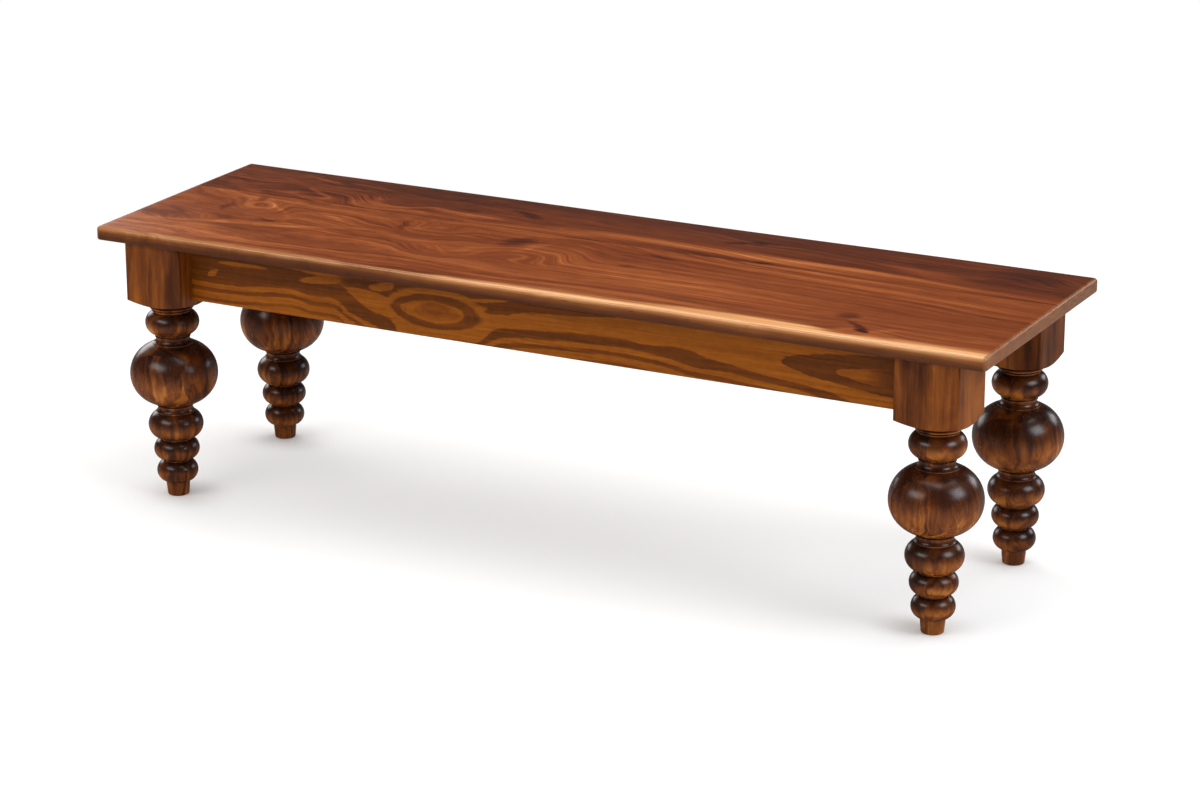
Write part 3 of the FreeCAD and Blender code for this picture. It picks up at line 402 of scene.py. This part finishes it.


# Growth rings round a pith that lies off to one side, so every glued piece has its own figure.
def legFinish(name, centre, pith, shift, light):
    made = Finish(name)
    place = made.millimetres()
    z = made.split(place)[2]
    turned = made.between(z, *turnedLevels)
    moved = made.vector("ADD", place, (shift * 173.0, shift * 97.0, shift * 61.0))
    wander = made.scaled(turned, 56, 16)
    bent = made.pushed(place, made.drift(moved, (60, 60, 130), 3, 0.5, 0.3), made.join(wander, wander, 0.0))
    across = made.vector("SUBTRACT", bent, (centre[0] + pith[0], centre[1] + pith[1], 0.0))
    across = made.vector("MULTIPLY", across, (1, 1, 0))
    rings = made.cloud(made.join(made.length(across), made.scaled(z, 0.02), shift * 19.0), (9, 9, 9), 3, 0.6)
    wide = made.cloud(moved, (36, 36, 110), 3, 0.5, 0.5)
    fibres = made.cloud(moved, (1.2, 1.2, 46), 3, 0.6)
    mottle = made.cloud(moved, (13, 13, 16), 4, 0.65, 0.8)
    patchy = made.scaled(turned, 0.55, 0.75)
    tone = made.add(made.calc("MULTIPLY", made.scaled(rings, 1.0, -0.5), patchy),
                    made.calc("MULTIPLY", made.scaled(wide, 1.0, -0.5), patchy),
                    made.calc("MULTIPLY", made.scaled(fibres, 0.28, -0.14), made.scaled(turned, -0.75, 1)),
                    made.calc("MULTIPLY", made.scaled(mottle, 0.3, -0.15), made.scaled(turned, 0.4, 0.3)),
                    made.scaled(turned, 0.13, 0.46 + light))

    # where the turned part faces up it is darkened by settled stain and by painted shade; where it faces down, by a
    # little painted shade
    facing = made.split(made.node("TexCoord").outputs["Normal"])[2]
    ragged = made.add(facing, made.scaled(wide, 1.5, -0.75), made.scaled(mottle, 0.9, -0.45))
    stainAndShade = made.between(ragged, -0.25, 0.5)
    shadeBelow = made.between(facing, -0.35, -0.95)
    tone = made.add(tone, made.calc("MULTIPLY", turned, made.scaled(stainAndShade, -0.3, -0.05)),
                    made.calc("MULTIPLY", turned, made.scaled(shadeBelow, -0.12)))
    colour = made.ramp(tone, legTones)
    # the darkest colour goes where the turned part faces up: settled stain and painted shade
    colour = made.blend(made.calc("MULTIPLY", turned, made.scaled(stainAndShade, 0.55)), colour, paint(36, 14, 8))
    roughness = made.add(made.scaled(mottle, 0.12, 0.35), made.scaled(turned, -0.15))
    relief = made.calc("MULTIPLY", fibres, made.scaled(turned, -0.85, 1))
    return made.surface(colour, roughness, relief, 0.00006,
                        Specular_IOR_Level=made.scaled(turned, 0.22, 0.14))


# Rails, buttons and pins under the seat: their grain runs from front to back.
def plainWood(name, dark, light):
    made = Finish(name)
    place = made.millimetres()
    grain = (6, 160, 6)
    streaks = made.cloud(place, grain, 4, 0.6)
    fibres = made.cloud(place, [size / 7 for size in grain])
    tone = made.add(made.scaled(streaks, 0.8), made.scaled(fibres, 0.3, -0.1))
    colour = made.ramp(tone, ((0.2, dark), (0.8, light)))
    return made.surface(colour, made.scaled(streaks, 0.1, 0.45), fibres, 0.0001)


def screwSteel():
    made = Finish("screwSteel")
    place = made.millimetres()
    wear = made.cloud(place, (2, 2, 2), 3, 0.6)
    colour = made.ramp(wear, ((0.2, paint(150, 146, 138)), (0.8, paint(205, 202, 194))))
    return made.surface(colour, made.scaled(wear, 0.2, 0.25), wear, 0.00002, Metallic=1.0)


# Pieces.

def newPiece(data, finish, node):
    piece = bpy.data.objects.new(data.name, data)
    bpy.context.scene.collection.objects.link(piece)
    data.materials.append(finish)
    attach(piece, "root")
    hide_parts(node)


def smoothByAngle(mesh, angle):
    for face in mesh.faces:
        face.smooth = True
    for edge in mesh.edges:
        edge.smooth = len(edge.link_faces) == 2 and edge.calc_face_angle(0) < math.radians(angle)


# Leg outline in millimetres, from the floor up: radius and level.
leg = {
    "footFlat": 15.0, "footRound": 2.5, "footTop": 19.5, "footHigh": 23.5,
    "crease": 1.8, "rim": 1.5, "ringHalf": 1.8, "ringGap": 0.8, "ringLift": 1.6,
    "swellings": {  # outside radius, half the height, radius where it ends, steps
        "low": (33.5, 19.0, 22.0, 28), "middle": (37.0, 18.5, 26.0, 28), "high": (44.5, 24.0, 31.0, 32),
        "bulb": (71.0, 52.0, 33.0, 56), "top": (43.5, 20.5, 31.0, 30)},
    "coves": {"low": (28.0, 7.0), "high": (27.0, 8.0)},  # waist radius, height
    "collar": (33.5, 2.5), "shoulderRise": 13.5, "blank": 76.0, "around": 144, "ease": 1.6,
    "cheekSpare": 4.0,
}


# The line that a turner would cut, point by point up the leg.
class TurnedLine:
    def __init__(self, *start):
        self.points = [start]

    def rise(self, height):
        radius, level = self.points[-1]
        self.points.append((radius, level + height))

    def reach(self, radius, level):
        self.points.append((radius, level))

    def swell(self, outside, half, last, steps):
        radius, level = self.points[-1]
        centre = outside - half
        start = math.acos(max(-1.0, min(1.0, (radius - centre) / half)))
        finish = math.acos(max(-1.0, min(1.0, (last - centre) / half)))
        middle = level + half * math.sin(start)
        for step in range(1, steps + 1):
            angle = -start + (start + finish) * step / steps
            self.points.append((centre + half * math.cos(angle), middle + half * math.sin(angle)))

    def cove(self, waist, height, steps=6):
        radius, level = self.points[-1]
        bend = ((radius - waist) ** 2 + height ** 2) / (2 * (radius - waist))
        start = math.asin(height / bend)
        for step in range(1, steps + 1):
            angle = start * (1 - step / steps)
            self.points.append((waist + bend - bend * math.cos(angle), level + height - bend * math.sin(angle)))

    def ring(self, half):
        radius = self.points[-1][0]
        self.swell(radius + half, half, radius, 10)


def legLine(underside, half):
    line = TurnedLine(0.0, 0.0)
    line.reach(leg["footFlat"], 0.0)
    line.swell(leg["footFlat"] + leg["footRound"], leg["footRound"], leg["footFlat"] + leg["footRound"], 4)
    line.reach(leg["footTop"], leg["footHigh"])
    line.swell(*leg["swellings"]["low"])
    line.rise(leg["crease"])
    line.swell(*leg["swellings"]["middle"])
    line.rise(leg["crease"])
    line.swell(*leg["swellings"]["high"])
    for place, following in (("low", "bulb"), ("high", "top")):
        line.rise(leg["rim"])
        line.cove(*leg["coves"][place])
        line.rise(leg["ringGap"])
        line.ring(leg["ringHalf"])
        line.rise(leg["ringLift"])
        line.swell(*leg["swellings"][following])
    line.rise(leg["ringGap"])
    line.ring(leg["ringHalf"])
    line.rise(leg["ringGap"])
    radius, roundHalf = leg["collar"]
    line.reach(radius, line.points[-1][1])
    line.swell(radius + roundHalf, roundHalf, radius, 10)
    level = line.points[-1][1]
    slope = leg["shoulderRise"] / (half * math.sqrt(2) - radius)
    line.reach(leg["blank"], level + slope * (leg["blank"] - radius))
    line.reach(leg["blank"], underside)
    line.reach(0.0, underside)
    return line.points


def legMaster(underside, half):
    mesh = bmesh.new()
    points = [mesh.verts.new((radius / 1000, 0, level / 1000)) for radius, level in legLine(underside, half)]
    edges = [mesh.edges.new(pair) for pair in zip(points, points[1:])]
    bmesh.ops.spin(mesh, geom=points + edges, cent=(0, 0, 0), axis=(0, 0, 1), angle=math.tau,
                   steps=leg["around"], use_merge=True)
    bmesh.ops.remove_doubles(mesh, verts=mesh.verts[:], dist=1e-6)
    bmesh.ops.recalc_face_normals(mesh, faces=mesh.faces[:])
    smoothByAngle(mesh, 24)
    return mesh


def cutAway(mesh, point, normal):
    everything = mesh.verts[:] + mesh.edges[:] + mesh.faces[:]
    cut = bmesh.ops.bisect_plane(mesh, geom=everything, dist=1e-7, plane_co=point, plane_no=normal,
                                 clear_outer=True)
    rim = [item for item in cut["geom_cut"] if isinstance(item, bmesh.types.BMEdge)]
    for face in bmesh.ops.holes_fill(mesh, edges=rim, sides=0)["faces"]:
        face.smooth = False


# A cut piece keeps the round surface's own normals, so light runs on over its glue lines.
def carryNormals(data, source):
    tree = BVHTree.FromPolygons([vert.co for vert in source.vertices], [face.vertices for face in source.polygons])
    cornerNormals = source.corner_normals
    normals = [Vector(item.vector) for item in data.corner_normals]
    for face in data.polygons:
        if not face.use_smooth:
            continue
        _, direction, index, distance = tree.find_nearest(face.center)
        if distance > 0.0002 or direction.dot(face.normal) < 0.9:  # not a face of the round surface
            continue
        under = source.polygons[index]
        outline = [source.vertices[number].co for number in under.vertices]
        for loop in face.loop_indices:
            shares = poly_3d_calc(outline, data.vertices[data.loops[loop].vertex_index].co)
            near = [cornerNormals[number].vector * share for number, share in zip(under.loop_indices, shares)]
            normal = sum(near, Vector())
            if normal.length > 0.5:
                normals[loop] = normal.normalized()
    data.normals_split_custom_set([tuple(normal) for normal in normals])


def easeCorners(mesh, half):
    corner = [edge for edge in mesh.edges if all(
        abs(abs(vert.co.x) - half) < 1e-5 and abs(abs(vert.co.y) - half) < 1e-5 for vert in edge.verts)]
    made = bmesh.ops.bevel(mesh, geom=corner, offset=leg["ease"] / 1000, segments=4, profile=0.5, affect="EDGES",
                           material=-1)
    for face in made["faces"]:
        face.smooth = True


# The six shapes a leg is glued up from: two halves, and the cheeks that build the large swelling out.
def legShapes(half, underside, bulbLow, bulbHigh):
    master = legMaster(underside * 1000, half * 1000)
    masterData = bpy.data.meshes.new("legMaster")
    master.to_mesh(masterData)
    shapes = {}
    for key, out in (("half", (1, 0)), ("half", (-1, 0)), ("cheek", (1, 0)), ("cheek", (-1, 0)), ("cheek", (0, 1)),
                     ("cheek", (0, -1))):
        cut = master.copy()
        if key == "half":
            cutAway(cut, (0, 0, 0), (-out[0], 0, 0))
            cutAway(cut, (out[0] * half, 0, 0), (out[0], 0, 0))
            cutAway(cut, (0, half, 0), (0, 1, 0))
            cutAway(cut, (0, -half, 0), (0, -1, 0))
            easeCorners(cut, half)
        else:
            cutAway(cut, (0, 0, bulbHigh), (0, 0, 1))
            cutAway(cut, (0, 0, bulbLow), (0, 0, -1))
            cutAway(cut, (out[0] * half, out[1] * half, 0), (-out[0], -out[1], 0))
        data = bpy.data.meshes.new(f"leg_{key}")
        cut.to_mesh(data)
        cut.free()
        carryNormals(data, masterData)
        shapes[key, out] = data
    master.free()
    bpy.data.meshes.remove(masterData)
    return shapes


# Where the pith lies from a piece's middle, and how much lighter each of a leg's six pieces is, leg by leg.
piths = ((-95, 40), (70, 60), (40, -90), (-60, -75), (105, -20), (-25, 100))
lightness = (0.05, -0.02, 0.04, -0.06, 0.03, -0.04,   0.07, -0.13, -0.03, 0.05, 0.02, -0.05,
             0.03, -0.05, 0.02, -0.02, 0.05, -0.03,   -0.05, 0.04, 0.0, 0.05, -0.04, 0.03)


def makeLegs():
    low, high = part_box("leg_front_left_outer_half")
    cheekLow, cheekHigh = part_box("leg_front_left_cheek_front")
    cheekSpare = leg["cheekSpare"] / 1000
    shapes = legShapes((high.y - low.y) / 2, high.z, cheekLow.z - cheekSpare, cheekHigh.z + cheekSpare)
    number, standing = 0, []
    for corner, outward in corners.items():
        outerLow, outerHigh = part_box(f"leg_{corner}_outer_half")
        innerLow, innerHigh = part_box(f"leg_{corner}_inner_half")
        centre = Vector(((min(outerLow.x, innerLow.x) + max(outerHigh.x, innerHigh.x)) / 2,
                         (outerLow.y + outerHigh.y) / 2, 0))
        for node, key, out in (("outer_half", "half", (outward, 0)), ("inner_half", "half", (-outward, 0)),
                               ("cheek_outer", "cheek", (outward, 0)), ("cheek_inner", "cheek", (-outward, 0)),
                               ("cheek_front", "cheek", (0, -1)), ("cheek_back", "cheek", (0, 1))):
            name = f"leg_{corner}_{node}"
            data = shapes[key, out].copy()
            data.name = f"{name}_turned"
            data.transform(Matrix.Translation(centre))
            finish = legFinish(f"{name}_walnut", (centre.x * 1000, centre.y * 1000), piths[number % len(piths)],
                               number * 0.618, lightness[number])
            newPiece(data, finish, name)
            number += 1
        standing.append(centre)
    for data in shapes.values():
        bpy.data.meshes.remove(data)
    return standing


# Seat boards: eased edges, the front one worked a little uneven by hand.
board = {
    "corner": 0.006, "topArris": 0.005, "lowArris": 0.004, "loops": 96,
    "waves": ((0.0011, 0.83, 0.4), (0.0006, 1.9, 2.1), (0.0004, 4.3, 0.9)),  # height, wavelength, phase
    "reach": 0.03, "slot": (0.0152, 0.003, 0.06),  # tongue slot: depth, half height, distance from the ends
}


def makeSeatBoard(node, finish, outward):
    low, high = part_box(node)
    middle = (low + high) / 2
    mesh = bmesh.new()
    bmesh.ops.create_cube(mesh, size=1.0, matrix=Matrix.LocRotScale(middle, None, high - low))
    outer = low.y if outward < 0 else high.y
    joint = high.y if outward < 0 else low.y

    def rounded(test, offset, segments):
        edges = [edge for edge in mesh.edges if test(*[(edge.verts[0].co[axis] + edge.verts[1].co[axis]) / 2
                                                       for axis in range(3)])]
        bmesh.ops.bevel(mesh, geom=edges, offset=offset, segments=segments, profile=0.5, affect="EDGES",
                        material=-1)

    rounded(lambda x, y, z: abs(y - outer) < 1e-5 and abs(z - middle.z) < 1e-4, board["corner"], 6)
    rounded(lambda x, y, z: abs(z - high.z) < 1e-5 and abs(y - joint) > 1e-4, board["topArris"], 6)
    rounded(lambda x, y, z: abs(z - low.z) < 1e-5 and abs(y - joint) > 1e-4, board["lowArris"], 5)
    slotDeep, slotHalf, slotStop = board["slot"]
    places = [low.x + (high.x - low.x) * step / board["loops"] for step in range(1, board["loops"])]
    places += [low.x + slotStop, high.x - slotStop]
    for place in places:
        everything = mesh.verts[:] + mesh.edges[:] + mesh.faces[:]
        bmesh.ops.bisect_plane(mesh, geom=everything, dist=1e-6, plane_co=(place, 0, 0), plane_no=(1, 0, 0))
    for level in (middle.z - slotHalf, middle.z + slotHalf):
        jointFaces = [face for face in mesh.faces if abs(face.calc_center_median().y - joint) < 1e-6]
        geometry = list(dict.fromkeys(item for face in jointFaces for item in (face, *face.edges, *face.verts)))
        bmesh.ops.bisect_plane(mesh, geom=geometry, dist=1e-6, plane_co=(0, 0, level), plane_no=(0, 0, 1))
    slot = [face for face in mesh.faces if abs(face.calc_center_median().y - joint) < 1e-6
            and abs(face.calc_center_median().z - middle.z) < slotHalf
            and low.x + slotStop < face.calc_center_median().x < high.x - slotStop]
    pushed = bmesh.ops.extrude_face_region(mesh, geom=slot)["geom"]
    bmesh.ops.delete(mesh, geom=slot, context="FACES_ONLY")
    sunk = [item for item in pushed if isinstance(item, bmesh.types.BMVert)]
    bmesh.ops.translate(mesh, verts=sunk, vec=(0, outward * slotDeep, 0))
    for vert in mesh.verts:
        inside = abs(vert.co.y - outer)
        if inside < board["reach"]:
            ease = (1 - inside / board["reach"]) ** 2
            wave = sum(height * (1 + math.sin(math.tau * vert.co.x / length + phase)) / 2
                       for height, length, phase in board["waves"])
            upper = max(0.0, (vert.co.z - middle.z) / (high.z - middle.z))
            vert.co.y -= outward * ease * wave * (0.5 + 0.5 * upper)
            vert.co.z -= ease * wave * 0.5 * upper
    bmesh.ops.recalc_face_normals(mesh, faces=mesh.faces[:])
    smoothByAngle(mesh, 32)
    data = bpy.data.meshes.new(f"{node}_eased")
    mesh.to_mesh(data)
    mesh.free()
    newPiece(data, finish, node)


def dress(node, finish):
    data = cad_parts[node].data
    data.materials.clear()
    data.materials.append(finish)


seatWalnut = seatFinish()
makeSeatBoard("top_board_front", seatWalnut, -1)
makeSeatBoard("top_board_back", seatWalnut, 1)
print("seat made")
legPlaces = makeLegs()
print("legs made")
dress("apron_front", apronFinish("apronFigure"))
dress("apron_back", apronFinish("apronFigureBack", 240.0, 0.02, 0.8))
railWood = plainWood("railWalnut", paint(84, 44, 18), paint(140, 82, 38))
bareWood = plainWood("bareHardwood", paint(150, 108, 66), paint(196, 154, 104))
pinWood = plainWood("pinHardwood", paint(140, 98, 58), paint(186, 144, 96))
zinc = screwSteel()
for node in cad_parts:
    if node.endswith("_screws"):
        dress(node, zinc)
    elif node.endswith("_pins") or node == "seat_tongue":
        dress(node, pinWood)
    elif node.startswith("end_rail"):
        dress(node, railWood)
    elif node.startswith(("cross_rail", "seat_button")):
        dress(node, bareWood)
print("aprons and joinery dressed")


# Studio: pale floor, white surround, soft lamps.
studio = {
    "floor": 30.0, "floorShade": 0.97, "glossShade": 0.2,  # size, and how light it is to the eye and in a gloss
    "lift": 0.5, "whiteFrom": (1100, 2100), "footShade": ((110, 90), -0.4),  # how far the shadow is lifted
    "fill": 0.62, "mirror": 0.05, "horizon": 0.28,  # light of the surround on surfaces and in a gloss
    "lamps": {  # place, aimed at, width, height, watts, colour
        "overhead": ((0.1, 0.3, 3.0), (0.0, 0.0, 0.4), 3.4, 2.2, 84.0, (1.0, 0.985, 0.96)),
        "rightBox": ((3.2, -0.2, 2.2), (0.5, 0.0, 0.3), 1.6, 1.4, 50.0, (0.92, 0.96, 1.0)),
        "backBox": ((2.1, 3.6, 1.55), (0.6, 0.0, 0.35), 1.5, 1.0, 22.0, (0.9, 0.95, 1.0)),
        "leftBox": ((-3.4, 1.8, 1.25), (-0.7, -0.1, 0.4), 1.8, 1.3, 27.0, (1.0, 0.97, 0.95)),
        "frontBox": ((-1.6, -3.1, 2.6), (0.0, 0.0, 0.3), 2.6, 1.1, 50.0, (1.0, 0.97, 0.93)),
    },
}


def makeStudio(legPlaces):
    mesh = bmesh.new()
    bmesh.ops.create_grid(mesh, x_segments=1, y_segments=1, size=studio["floor"])
    data = bpy.data.meshes.new("studioFloor")
    mesh.to_mesh(data)
    mesh.free()
    floor = bpy.data.objects.new("studioFloor", data)
    bpy.context.scene.collection.objects.link(floor)
    made = Finish("paleFloor")
    path = made.node("LightPath").outputs
    shade = made.scaled(path["Is Glossy Ray"], studio["glossShade"] - studio["floorShade"], studio["floorShade"])
    diffuse = made.node("BsdfDiffuse", {"Color": made.join(shade, shade, shade)})
    glow = made.node("Emission", {"Color": (1, 1, 1, 1), "Strength": 1.0})
    place = made.millimetres()
    far = made.between(made.length(place), *studio["whiteFrom"])
    size, deeper = studio["footShade"]
    feet = [((centre.x * 1000, centre.y * 1000), size, 0, deeper) for centre in legPlaces]
    lift = made.calc("MAXIMUM", far, made.spots(place, studio["lift"], feet))
    lift = made.calc("MULTIPLY", lift, path["Is Camera Ray"])
    mixed = made.node("MixShader", (lift, diffuse.outputs[0], glow.outputs[0]))
    made.node("OutputMaterial", (mixed.outputs[0],))
    data.materials.append(made.material)

    # the surround is white to the eye, a soft fill on surfaces, and seen in a gloss only as a pale horizon
    world = bpy.data.worlds.new("studioSurround")
    bpy.context.scene.world = world
    world.use_nodes = True
    tree = world.node_tree
    tree.nodes.clear()

    def node(kind, **settings):
        item = tree.nodes.new("ShaderNode" + kind)
        for key, value in settings.items():
            setattr(item, key, value)
        return item

    path, direction, parts = node("LightPath"), node("TexCoord"), node("SeparateXYZ")
    rise = node("MapRange", interpolation_type="SMOOTHSTEP")
    shown, most = node("Mix"), node("Math", operation="MAXIMUM")
    background, output = node("Background"), node("OutputWorld")
    for name, value in (("From Min", 0.02), ("From Max", 0.14), ("To Min", studio["horizon"]),
                        ("To Max", studio["mirror"])):
        rise.inputs[name].default_value = value
    shown.inputs[2].default_value = studio["fill"]
    for source, target in ((direction.outputs["Generated"], parts.inputs[0]),
                           (parts.outputs[2], rise.inputs["Value"]),
                           (path.outputs["Is Glossy Ray"], shown.inputs[0]), (rise.outputs[0], shown.inputs[3]),
                           (shown.outputs[0], most.inputs[0]), (path.outputs["Is Camera Ray"], most.inputs[1]),
                           (most.outputs[0], background.inputs["Strength"]),
                           (background.outputs[0], output.inputs[0])):
        tree.links.new(source, target)

    for name, (place, aim, width, height, watts, colour) in studio["lamps"].items():
        lamp = bpy.data.lights.new(name, "AREA")
        lamp.shape = "RECTANGLE"
        lamp.size = width
        lamp.size_y = height
        lamp.energy = watts
        lamp.color = colour
        holder = bpy.data.objects.new(name, lamp)
        holder.location = place
        holder.rotation_euler = (Vector(aim) - Vector(place)).to_track_quat("-Z", "Y").to_euler()
        bpy.context.scene.collection.objects.link(holder)


# Where the camera stands, how far it looks down and round in degrees, and its lens.
view = {"place": (2.557, -4.875, 2.012), "down": 18.1, "round": 27.43, "lens": 110.0}


def makeCamera():
    data = bpy.data.cameras.new("photographer")
    data.sensor_width = 36
    data.lens = view["lens"]
    data.clip_end = 100
    camera = bpy.data.objects.new("photographer", data)
    camera.location = view["place"]
    camera.rotation_euler = (math.radians(90 - view["down"]), 0, math.radians(view["round"]))
    bpy.context.scene.collection.objects.link(camera)
    bpy.context.scene.camera = camera


makeStudio(legPlaces)
makeCamera()
bpy.context.scene.view_settings.view_transform = "Standard"
print("studio made")
